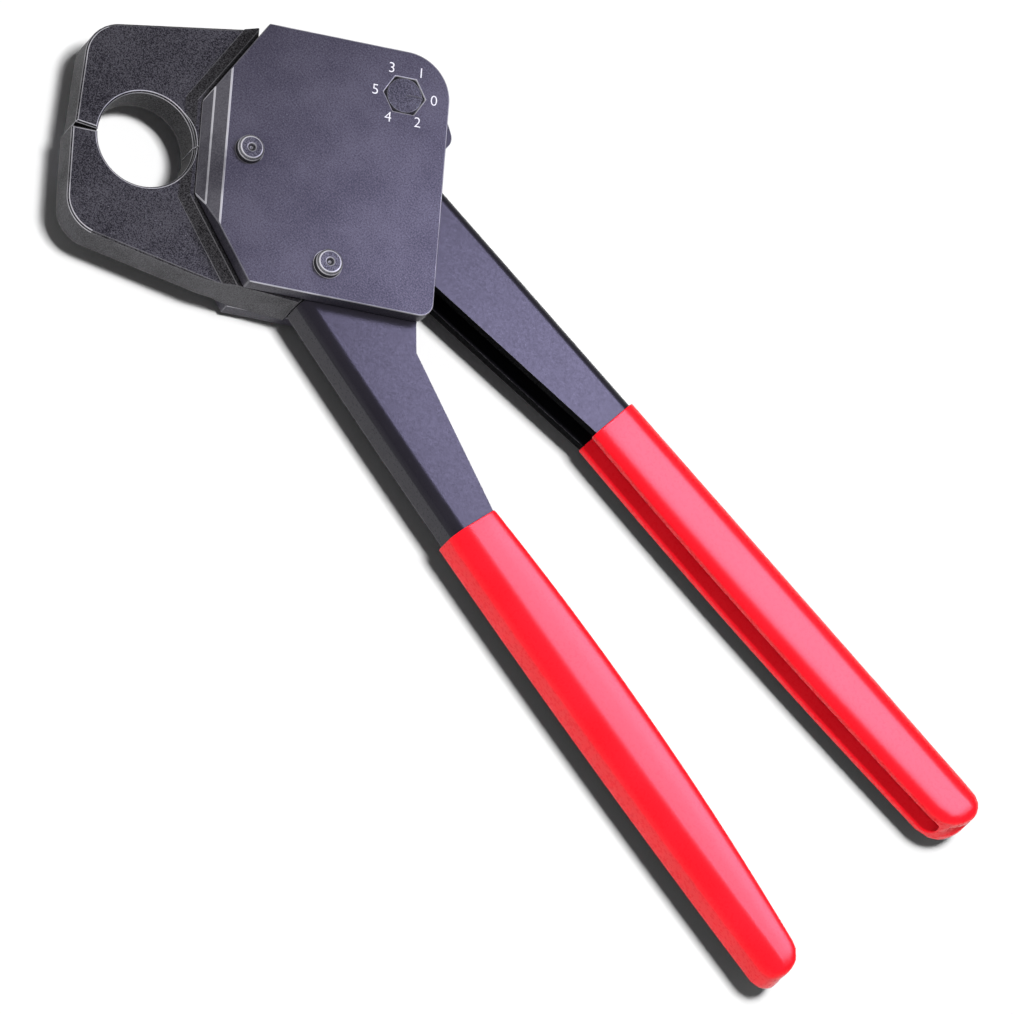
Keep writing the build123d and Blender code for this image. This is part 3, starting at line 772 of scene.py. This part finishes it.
@dataclass
class Grip:
    """A dipped coat on a handle's channel, open along its inner side.

    It is modelled straight, in millimetres along its handle, across it and to the inner side, and is then
    bent to the handle.
    """

    node: str
    body: Body
    root_mm: Pair
    slope_deg: float
    inner: InnerSide
    web_mm: Triple
    lip_mm: Triple
    steel_end_mm: float
    end_web_mm: float
    end_lip_mm: float
    start_mm: float = 83.5
    tip_mm: float = 4.0
    half_mm: float = 8.9
    coat_mm: float = 1.2
    lip_coat_mm: float = 0.9
    slot_half_mm: float = 4.3
    slot_floor_mm: float = 4.4
    slot_stop_mm: float = 4.8
    web_edge: RoundEdge = RoundEdge(5.6, 6)
    lip_edge: RoundEdge = RoundEdge(2.2, 4)
    slot_corner: RoundEdge = RoundEdge(3.4, 5)
    slot_lip_edge: RoundEdge = RoundEdge(2.2, 4)
    slot_floor_edge: RoundEdge = RoundEdge(1.0, 2)
    head_rim: RoundEdge = RoundEdge(0.3, 3)
    square_deg: float = 60.0
    upright_mm: float = 1.0
    end_side_mm: float = 3.2
    notch_mm: float = 1.8
    notch_run_mm: float = 3.2
    notch_half_mm: float = 5.0
    notch_cuts: tuple[float, ...] = (0.0, 0.26, -0.26, 0.56, -0.56, 1.0, -1.0)
    crown_mm: float = 0.8
    crown_steps: int = 10
    crown_power: int = 4
    step_mm: float = 9.0
    least_step_mm: float = 0.3
    tip_deg: tuple[float, ...] = (46.0, 58.0, 69.0, 79.0, 85.0, 90.0)
    snap_mm: float = 1e-5

    def __post_init__(self) -> None:
        """Work out the straight coat's tip, lowest and highest level and slot end."""
        self.tip = self.steel_end_mm + self.tip_mm
        self.low = -self.coat_mm
        self.high = max(self.lip_mm) + self.lip_coat_mm
        self.slot_end = self.tip - self.slot_stop_mm

    def build(self) -> bpy.types.Object:
        """Model the coat round the place of its solid.

        Returns:
            The finished grip.
        """
        work = bmesh.new()
        self.loft(work)
        self.sink_slot(work)
        self.soften(work)
        self.divide(work)
        for vert in work.verts:
            vert.co = self.bent(vert.co)
        slope = math.radians(self.slope_deg)
        along = Vector((math.cos(slope), math.sin(slope), 0.0))
        inward = Vector((-math.sin(slope), math.cos(slope), 0.0)) * self.inner.value
        turn = Matrix((along, inward.cross(along), inward)).transposed().to_4x4()
        root = Matrix.Translation((*self.root_mm, 0.0))
        bmesh.ops.transform(work, matrix=Matrix.Scale(MM, 4) @ root @ turn, verts=work.verts)
        bmesh.ops.recalc_face_normals(work, faces=work.faces)
        piece = finished(work, f"{self.node}_vinyl", self.body)
        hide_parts(self.node)
        even_normals(piece)
        return piece

    def loft(self, work: bmesh.types.BMesh) -> None:
        """Draw the coat's outer section at its head end and carry it to the tip.

        Args:
            work: the empty bmesh.
        """
        bmesh.ops.create_grid(work, x_segments=1, y_segments=1, size=1.0)
        bmesh.ops.rotate(work, matrix=Matrix.Rotation(math.radians(90.0), 3, "Y"), verts=work.verts)
        bmesh.ops.scale(work, vec=(1.0, self.half_mm, (self.high - self.low) / 2.0), verts=work.verts)
        middle = (self.start_mm, 0.0, (self.high + self.low) / 2.0)
        bmesh.ops.translate(work, vec=middle, verts=work.verts)
        side = self.half_mm - FINE_MM
        for level, edge in ((self.low, self.web_edge), (self.high, self.lip_edge)):
            corners = [v for v in work.verts if abs(v.co.z - level) < FINE_MM and abs(v.co.y) > side]
            rounded(work, corners, edge.mm, edge.steps, Rounding.CORNERS)
        for place in (self.slot_half_mm, -self.slot_half_mm):
            self.cut_across(work, work.faces[:], place)
        lid = work.faces[:]
        here = self.start_mm
        for station in self.stations():
            grown = bmesh.ops.extrude_face_region(work, geom=lid)["geom"]
            if here > self.start_mm:
                bmesh.ops.delete(work, geom=lid, context="FACES")
            lid = [f for f in grown if isinstance(f, bmesh.types.BMFace)]
            moved = [v for v in grown if isinstance(v, bmesh.types.BMVert)]
            bmesh.ops.translate(work, vec=(station - here, 0.0, 0.0), verts=moved)
            here = station

    def stations(self) -> list[float]:
        """Divide the coat along its length, closely at the rounded tip.

        Returns:
            The places that its section is carried to, in order.
        """
        bend = self.tip - self.end_lip_mm
        count = int((bend - self.start_mm) / self.step_mm)
        run = [self.start_mm + (bend - self.start_mm) * i / count for i in range(1, count + 1)]
        turn = [bend + self.end_lip_mm * math.sin(math.radians(a)) for a in self.tip_deg]
        return run + [self.slot_end] + [t for t in turn if t > self.slot_end + self.least_step_mm]

    def cut_across(self, work: bmesh.types.BMesh, faces: list, place: float) -> None:
        """Cut faces lengthwise, at a place across the coat."""
        sliced(work, faces, (0.0, place, 0.0), (0.0, 1.0, 0.0), self.snap_mm)

    def cut_level(self, work: bmesh.types.BMesh, faces: list, level: float) -> None:
        """Cut faces lengthwise, at a level between the web and the lips."""
        sliced(work, faces, (0.0, 0.0, level), (0.0, 0.0, 1.0), self.snap_mm)

    def sink_slot(self, work: bmesh.types.BMesh) -> None:
        """Sink the slot between the flanges, and open it at the head end.

        Args:
            work: the straight coat.
        """

        def between(face: bmesh.types.BMFace) -> bool:
            """Whether a face lies between the flanges."""
            return abs(face.calc_center_median().y) < self.slot_half_mm - FINE_MM

        over = [f for f in work.faces if f.normal.z > FACING and between(f)]
        lid = [f for f in over if f.calc_center_median().x < self.slot_end]
        grown = bmesh.ops.extrude_face_region(work, geom=lid)["geom"]
        sunk = [v for v in grown if isinstance(v, bmesh.types.BMVert)]
        bmesh.ops.translate(work, vec=(0.0, 0.0, self.slot_floor_mm - self.high), verts=sunk)
        bmesh.ops.delete(work, geom=lid, context="FACES")
        front = [f for f in work.faces if self.at_head(f) and between(f)]
        self.cut_level(work, front, self.slot_floor_mm)
        front = [f for f in work.faces if self.at_head(f) and between(f)]
        opening = [f for f in front if f.calc_center_median().z > self.slot_floor_mm + FINE_MM]
        bmesh.ops.delete(work, geom=opening, context="FACES")
        bmesh.ops.remove_doubles(work, verts=work.verts, dist=FINE_MM)

    def at_head(self, thing: bmesh.types.BMFace | bmesh.types.BMEdge) -> bool:
        """Whether a face or an edge lies in the coat's head end."""
        return all(abs(v.co.x - self.start_mm) < FINE_MM for v in thing.verts)

    def soften(self, work: bmesh.types.BMesh) -> None:
        """Round the slot's end, lips and floor, and the rim at the head end.

        Args:
            work: the straight coat with its slot.
        """

        def inside(vert: bmesh.types.BMVert) -> bool:
            """Whether a vertex belongs to the slot."""
            return abs(vert.co.y) < self.slot_half_mm + NEAR_MM and vert.co.x < self.slot_end + NEAR_MM

        def square(edge: bmesh.types.BMEdge) -> bool:
            """Whether an edge lies between two faces that meet at about a right angle."""
            return edge.is_manifold and edge.calc_face_angle(0.0) > math.radians(self.square_deg)

        def level(edge: bmesh.types.BMEdge, height: float) -> bool:
            """Whether an edge of the slot lies at a height."""
            return all(inside(v) and abs(v.co.z - height) < NEAR_MM for v in edge.verts)

        def stopped(edge: bmesh.types.BMEdge) -> bool:
            """Whether an edge stands upright in the slot's end."""
            first, second = edge.verts
            at_end = all(abs(v.co.x - self.slot_end) < NEAR_MM and inside(v) for v in edge.verts)
            return at_end and abs(first.co.z - second.co.z) > self.upright_mm

        def walled(edge: bmesh.types.BMEdge) -> bool:
            """Whether an edge belongs to the slot's walls or floor."""
            return all(inside(v) and v.co.z > self.slot_floor_mm - NEAR_MM for v in edge.verts)

        corners = [e for e in work.edges if square(e) and stopped(e)]
        rounded(work, corners, self.slot_corner.mm, self.slot_corner.steps)
        levels = ((self.high, self.slot_lip_edge), (self.slot_floor_mm, self.slot_floor_edge))
        for height, edge in levels:
            rim = [e for e in work.edges if level(e, height) and square(e) and not self.at_head(e)]
            rounded(work, rim, edge.mm, edge.steps)
        head = [e for e in work.edges if self.at_head(e) and square(e) and not walled(e)]
        rounded(work, head, self.head_rim.mm, self.head_rim.steps)

    def divide(self, work: bmesh.types.BMesh) -> None:
        """Cut the sides where the crown bends them, and the tip where the notch sinks into it.

        Args:
            work: the straight coat, softened.
        """
        first, last = self.low + self.web_edge.mm, self.high - self.lip_edge.mm
        for step in range(1, self.crown_steps):
            sides = [f for f in work.faces if all(abs(v.co.y) > self.half_mm - NEAR_MM for v in f.verts)]
            self.cut_level(work, sides, first + (last - first) * step / self.crown_steps)
        for share in self.notch_cuts:
            ends = [f for f in work.faces if all(v.co.x > self.slot_end - NEAR_MM for v in f.verts)]
            self.cut_across(work, ends, share * self.notch_half_mm)

    def bent(self, spot: Vector) -> Vector:
        """Carry a point of the straight coat to the handle's curves, the rounded tip and its notch.

        The web side and the lip side are stretched apart, so that the slot's floor follows the web.

        Args:
            spot: a point of the straight coat, in millimetres.

        Returns:
            Its place on the finished coat.
        """

        def drop(radius: float) -> float:
            """How far a corner of this radius falls back at the point, towards the tip."""
            past = max(0.0, spot.x - (self.tip - radius))
            return radius - math.sqrt(max(0.0, radius * radius - past * past))

        web = through((0.0, self.steel_end_mm), self.web_mm, spot.x)
        lip = through((self.start_mm, self.steel_end_mm), self.lip_mm, spot.x)
        depth = self.slot_floor_mm + self.coat_mm
        share = (spot.z - self.low) / (self.high - self.low)
        straight = depth / (self.high - self.low)
        curved = depth / (lip + self.lip_coat_mm - web + self.coat_mm)
        if share < straight:
            share *= curved / straight
        else:
            share = curved + (1.0 - curved) * (share - straight) / (1.0 - straight)
        ramp = max(0.0, 1.0 - (self.tip - spot.x) / self.notch_run_mm)
        bell = max(0.0, 1.0 - (spot.y / self.notch_half_mm) ** 2) ** 2
        sink = self.notch_mm * bell * ramp * share
        low = web - self.coat_mm + drop(self.end_web_mm)
        high = lip + self.lip_coat_mm - drop(self.end_lip_mm) - sink
        out = abs(spot.y) / self.half_mm
        crown = self.crown_mm * abs(2.0 * share - 1.0) ** self.crown_power * out**self.crown_power
        width = 1.0 - (drop(self.end_side_mm) + crown) / self.half_mm
        return Vector((spot.x - sink, spot.y * width, low + (high - low) * share))


@dataclass
class Dial:
    """Plain numbers round the hex seat, painted on the front plate."""

    height_mm: float = 3.3
    figure_share: float = 0.70
    radius_mm: float = 9.3
    paint_mm: float = 0.06
    thin_mm: float = 0.05
    weld_mm: float = 1e-3
    order: str = "013542"

    def build(self) -> bpy.types.Object:
        """Set the numbers round the adjuster, upright along the split axis.

        Returns:
            The numbers as one mesh.
        """
        low, high = (Vector(corner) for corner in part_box("adjuster_pin"))
        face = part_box("front_plate")[1][2]
        centre = (low + high) / 2.0
        turn = Matrix((SPLIT_AXIS, UPPER_AXIS, UP)).transposed().to_4x4()
        work = bmesh.new()
        for place, sign in enumerate(self.order):
            text = bpy.data.curves.new(f"number_{sign}", "FONT")
            text.body = sign
            text.align_x = "CENTER"
            text.align_y = "CENTER"
            text.size = self.height_mm * MM / self.figure_share
            text.extrude = self.paint_mm * MM
            text.offset = -self.thin_mm * MM
            holder = bpy.data.objects.new(f"number_{sign}", text)
            mesh = bpy.data.meshes.new_from_object(holder)
            away = math.tau * place / len(self.order)
            spoke = SPLIT_AXIS * math.cos(away) + UPPER_AXIS * math.sin(away)
            spot = centre + spoke * self.radius_mm * MM
            mesh.transform(Matrix.Translation(Vector((spot.x, spot.y, face))) @ turn)
            work.from_mesh(mesh)
            bpy.data.objects.remove(holder)
            bpy.data.meshes.remove(mesh)
            bpy.data.curves.remove(text)
        bmesh.ops.remove_doubles(work, verts=work.verts, dist=self.weld_mm * MM)
        bmesh.ops.recalc_face_normals(work, faces=work.faces)
        piece = finished(work, "dial_numbers", Body.FRAME)
        dress(piece, DIAL_PAINT.material())
        return piece


@dataclass
class Head:
    """Plates, jaws, pins and the adjuster."""

    plate_edge_mm: float = 0.40
    # Painted sheen: the front plate's tilted toe strips are lightened as if they reflected the softbox.
    plate_slope_sheen: float = 0.08
    jaw_edge_mm: float = 0.28
    pin_edge_mm: float = 0.22
    pin_wear: float = 0.7
    # Pin chamfers: lightened partly as wear and partly as a painted highlight.
    pin_slope_wear_and_highlight: float = 0.1
    dimple_mm: float = 2.0
    seat_wear: float = 0.2

    def build(self) -> list[bpy.types.Object]:
        """Model the head's visible pieces, and dress the hidden ones.

        Returns:
            The new pieces.
        """
        plate, jaw = PLATE_STEEL.material(), JAW_STEEL.material()
        pin, seat = PIN_STEEL.material(), SEAT_STEEL.material()
        plates = dict(finish=plate, edge_mm=self.plate_edge_mm, slot="plate_steel", rub=PlateWearAndHighlight())
        jaws = dict(finish=jaw, edge_mm=self.jaw_edge_mm, slot="jaw_steel", rub=JawWearAndHighlight())
        turned = dict(edge_mm=self.pin_edge_mm, slot="pin_steel")
        pins = turned | dict(
            finish=pin,
            rub=EvenRub(self.pin_wear),
            slope_wear_and_sheen=self.pin_slope_wear_and_highlight,
            calm_mm=self.dimple_mm,
        )
        hexes = turned | dict(finish=seat, rub=EvenRub(self.seat_wear))
        pieces = [
            SteelPiece("front_plate", Body.FRAME, slope_wear_and_sheen=self.plate_slope_sheen, **plates).build(),
            SteelPiece("back_plate", Body.FRAME, **plates).build(),
            Jaw("upper_jaw", Body.JAW, **jaws).build(),
            Jaw("lower_jaw", Body.FRAME, **jaws).build(),
            SteelPiece("jaw_pivot_pin", Body.FRAME, **pins).build(),
            SteelPiece("anchor_pin", Body.FRAME, **pins).build(),
            SteelPiece("adjuster_pin", Body.ADJUSTER, **hexes).build(),
            Dial().build(),
        ]
        for node in ("drive_pin", "drive_rollers"):
            dress(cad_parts[node], pin)
        dress(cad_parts["adjuster_ring"], NITRILE.material())
        return pieces


@dataclass
class Handles:
    """The two bent channels with their grips, hub and bushes.

    The channels' creases are kept, because only their cut edges are rubbed.
    """

    edge_mm: float = 0.30
    line_mm: float = 1000.0
    room_mm: float = 0.45
    cut_wear: float = 0.6

    def build(self) -> list[bpy.types.Object]:
        """Model the channels and grips, and dress the hidden bearing pieces.

        Returns:
            The new pieces.
        """
        sheet, vinyl, bronze = SHEET_STEEL.material(), RED_VINYL.material(), BRONZE.material()
        sides = (
            ("fixed_handle", Body.FRAME, InnerSide.UP),
            ("moving_handle", Body.HANDLE, InnerSide.DOWN),
        )
        channels = [
            Channel(
                node=node,
                body=body,
                finish=sheet,
                edge_mm=self.edge_mm,
                slot="handle_steel",
                rub=EvenRub(self.cut_wear),
                line_mm=self.line_mm,
                room_mm=self.room_mm,
                inner=inner,
            ).build()
            for node, body, inner in sides
        ]
        grips = [
            Grip(
                node="fixed_grip",
                body=Body.FRAME,
                root_mm=(67.03, 5.94),
                slope_deg=-4.0,
                inner=InnerSide.UP,
                web_mm=(0.0, -0.75, 3.2),
                lip_mm=(14.0, 17.4, 14.2),
                steel_end_mm=243.5,
                end_web_mm=5.2,
                end_lip_mm=7.2,
                notch_mm=0.5,
            ).build(),
            Grip(
                node="moving_grip",
                body=Body.HANDLE,
                root_mm=(66.28, 68.57),
                slope_deg=3.6,
                inner=InnerSide.DOWN,
                web_mm=(0.0, 0.0, 0.0),
                lip_mm=(16.0, 16.7, 14.5),
                steel_end_mm=240.5,
                end_web_mm=6.4,
                end_lip_mm=9.4,
            ).build(),
        ]
        for grip in grips:
            dress(grip, vinyl)
            # The coats throw no red light on the floor, so that the shadow beside them stays neutral.
            grip.visible_diffuse = False
        dress(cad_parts["handle_hub"], sheet)
        for node in ("jaw_bush", "handle_bush"):
            dress(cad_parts[node], bronze)
        return channels + grips


@dataclass(frozen=True)
class Softbox:
    """A softbox that looks at a point of the tool, its long side along the handles."""

    use: Lamp
    aim_mm: Triple
    level: Pair
    rise_deg: float
    away_m: float
    size_m: Pair
    power: float
    colour: Triple = (1.0, 1.0, 1.0)

    def build(self) -> bpy.types.Object:
        """Hang the lamp. A wash has no mirror image, and a sheen is nothing else.

        Returns:
            The lamp.
        """
        lamp = bpy.data.lights.new(f"{self.use.value}_softbox", "AREA")
        lamp.shape = "RECTANGLE"
        lamp.size, lamp.size_y = self.size_m
        lamp.energy = self.power
        lamp.color = self.colour
        lamp.cycles.use_multiple_importance_sampling = self.use is Lamp.SHEEN
        thing = bpy.data.objects.new(lamp.name, lamp)
        bpy.context.collection.objects.link(thing)
        rise = math.radians(self.rise_deg)
        ray = Vector((*self.level, 0.0)).normalized() * math.cos(rise) + UP * math.sin(rise)
        facing = ray.normalized()
        rising = facing.cross(Vector((1.0, 0.0, 0.0))).normalized()
        axes = Matrix((rising.cross(facing), rising, facing)).transposed().to_4x4()
        thing.matrix_world = Matrix.Translation(Vector(self.aim_mm) * MM + facing * self.away_m) @ axes
        thing.visible_glossy = self.use is Lamp.SHEEN
        thing.visible_diffuse = self.use is Lamp.WASH
        return thing


@dataclass
class Studio:
    """Pale floor, camera and four softboxes: key, fill, a strip for the grips, and a bluish sheen."""

    elevation_deg: float = 62.0
    toward: Pair = (0.148, -0.989)
    roll_deg: float = 44.4
    aim_mm: Triple = (152.7, 19.4, 6.0)
    width_mm: float = 302.7
    lens_mm: float = 800.0
    sensor_mm: float = 36.0
    clip_m: float = 50.0
    floor_m: float = 12.0
    floor_middle_m: Pair = (0.15, 0.0)
    floor_colour: str = "#F4F4F4"
    floor_roughness: float = 0.9
    floor_gloss: float = 0.1
    world_level: float = 0.10

    def softboxes(self) -> list[bpy.types.Object]:
        """Hang the lamps.

        Returns:
            Key, fill, strip and sheen.
        """
        behind = (-self.toward[0], -self.toward[1])
        key = Softbox(
            use=Lamp.WASH,
            aim_mm=self.aim_mm,
            level=(0.974, 0.225),
            rise_deg=86.2,
            away_m=5.0,
            size_m=(0.9, 0.9),
            power=269.0,
        )
        fill = Softbox(
            use=Lamp.WASH,
            aim_mm=self.aim_mm,
            level=self.toward,
            rise_deg=20.0,
            away_m=2.0,
            size_m=(1.0, 1.0),
            power=21.0,
        )
        strip = Softbox(
            use=Lamp.WASH,
            aim_mm=(200.0, 40.0, 0.0),
            level=self.toward,
            rise_deg=56.0,
            away_m=1.5,
            size_m=(0.6, 0.6),
            power=12.8,
        )
        sheen = Softbox(
            use=Lamp.SHEEN,
            aim_mm=(230.0, 38.0, 9.0),
            level=behind,
            rise_deg=58.5,
            away_m=0.42,
            size_m=(0.34, 0.15),
            power=6.6,
            colour=(0.68, 0.65, 1.0),
        )
        return [lamp.build() for lamp in (key, fill, strip, sheen)]

    def camera(self) -> None:
        """Place the camera at the photograph's angle, turned about its own axis."""
        front = Vector((*self.toward, 0.0)).normalized()
        rise = math.radians(self.elevation_deg)
        back = front * math.cos(rise) + UP * math.sin(rise)
        right = Vector((-front.y, front.x, 0.0))
        top = back.cross(right)
        roll = math.radians(self.roll_deg)
        across = right * math.cos(roll) + top * math.sin(roll)
        rising = top * math.cos(roll) - right * math.sin(roll)
        data = bpy.data.cameras.new("camera")
        data.lens = self.lens_mm
        data.sensor_width = self.sensor_mm
        data.clip_end = self.clip_m
        thing = bpy.data.objects.new("camera", data)
        bpy.context.collection.objects.link(thing)
        distance = self.width_mm * MM * self.lens_mm / self.sensor_mm
        place = Matrix.Translation(Vector(self.aim_mm) * MM + back * distance)
        thing.matrix_world = place @ Matrix((across, rising, back)).transposed().to_4x4()
        bpy.context.scene.camera = thing

    def floor(self) -> bpy.types.Object:
        """Lay the pale floor under the tool's lowest point.

        Returns:
            The floor.
        """
        work = bmesh.new()
        bmesh.ops.create_grid(work, x_segments=1, y_segments=1, size=self.floor_m / 2.0)
        bmesh.ops.translate(work, vec=(*self.floor_middle_m, CAD_BOX[0][2]), verts=work.verts)
        mesh = bpy.data.meshes.new("floor")
        work.to_mesh(mesh)
        work.free()
        thing = bpy.data.objects.new("floor", mesh)
        bpy.context.collection.objects.link(thing)
        material, _, shader = blank_material("pale_floor")
        shader.inputs["Base Color"].default_value = linear(self.floor_colour)
        shader.inputs["Roughness"].default_value = self.floor_roughness
        shader.inputs["Specular IOR Level"].default_value = self.floor_gloss
        dress(thing, material)
        return thing

    def flag(self, lamp: bpy.types.Object, use: Flag, things: list[bpy.types.Object]) -> None:
        """Flag a lamp, so that its light stays off some objects or meets only them.

        Args:
            lamp: the lamp.
            use: which of the two.
            things: the objects.
        """
        group = bpy.data.collections.new(f"flag_{lamp.name}")
        for thing in things:
            group.objects.link(thing)
        for member in group.collection_objects:
            member.light_linking.link_state = use.value
        lamp.light_linking.receiver_collection = group

    def build(self, grips: list[bpy.types.Object], shaded: bpy.types.Object) -> None:
        """Set the floor, lamps, world and camera.

        Args:
            grips: the dipped pieces, which have their own strip light.
            shaded: the handle whose channel the fill doesn't reach.
        """
        floor = self.floor()
        _, fill, strip, _ = self.softboxes()
        self.flag(fill, Flag.OFF, [floor, shaded, *grips])
        self.flag(strip, Flag.ONLY, grips)
        world = bpy.data.worlds.new("studio")
        bpy.context.scene.world = world
        world.use_nodes = True
        sky = world.node_tree.nodes["Background"]
        sky.inputs["Color"].default_value = linear("#FFFFFF")
        sky.inputs["Strength"].default_value = self.world_level
        bpy.context.scene.view_settings.view_transform = "Standard"
        self.camera()


def main() -> None:
    """Build every piece and set the studio."""
    logging.basicConfig(level=logging.INFO)
    pieces = Head().build() + Handles().build()
    for piece in pieces:
        LOG.info("%s: %d faces", piece.name, len(piece.data.polygons))
    named = {piece.name: piece for piece in pieces}
    grips = [named["fixed_grip_vinyl"], named["moving_grip_vinyl"]]
    Studio().build(grips, named["moving_handle_steel"])


if __name__ == "__main__":
    main()
